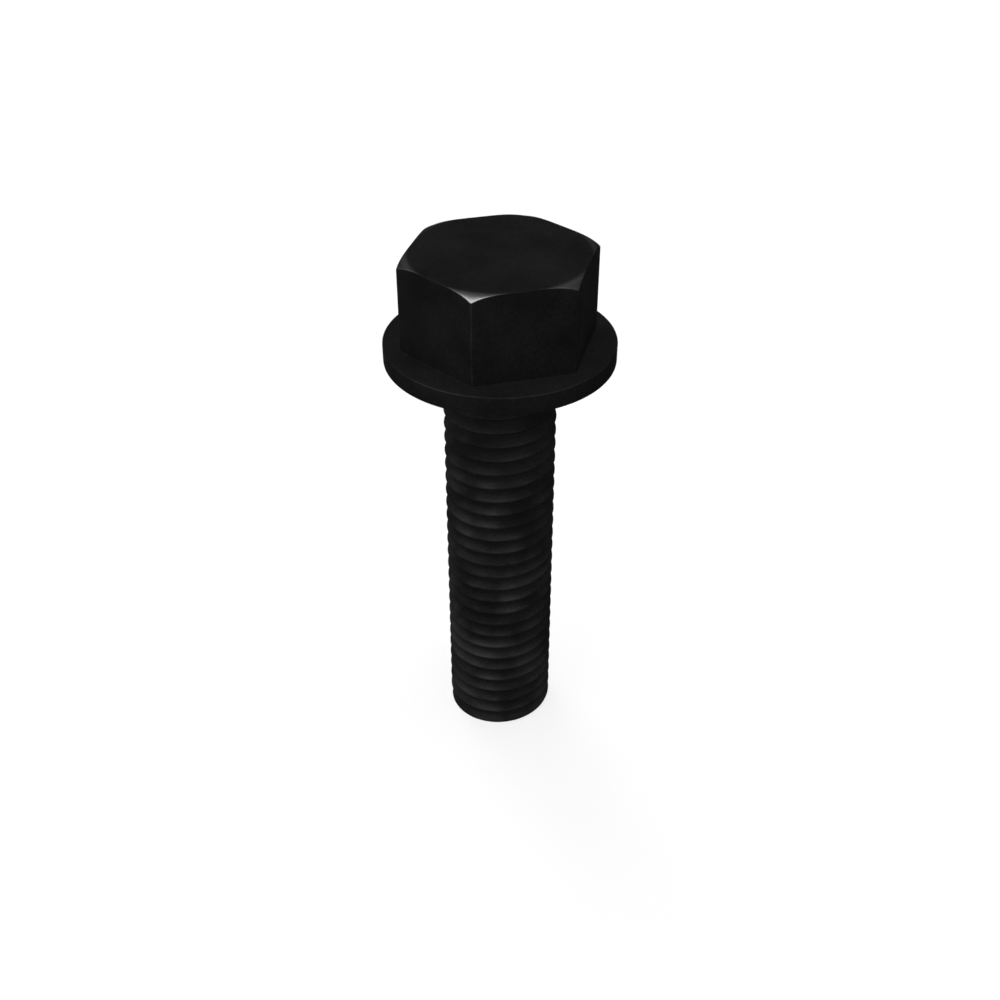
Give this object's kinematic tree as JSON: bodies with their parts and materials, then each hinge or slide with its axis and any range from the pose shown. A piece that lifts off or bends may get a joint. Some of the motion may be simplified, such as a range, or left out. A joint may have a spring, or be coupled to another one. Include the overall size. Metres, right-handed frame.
{
  "type": "hex washer head screw",
  "caption": "Black steel screw with a hexagonal head, a round washer formed under the head and a straight, flat-ended shank with a fine right-hand thread, turned with a socket to clamp parts together.",
  "frame": {"origin": "on the screw's axis, in the plane of the washer's underside, where the screw bears on what it clamps", "axes": "+Z along the axis from the shank's end to the head, +X through a corner of the hexagon"},
  "size_m": [0.0126, 0.0126, 0.031],
  "materials": {
    "black_finish": "satin"
  },
  "bodies": {
    "root": {"screw": "black_finish"}
  },
  "joints": []
}
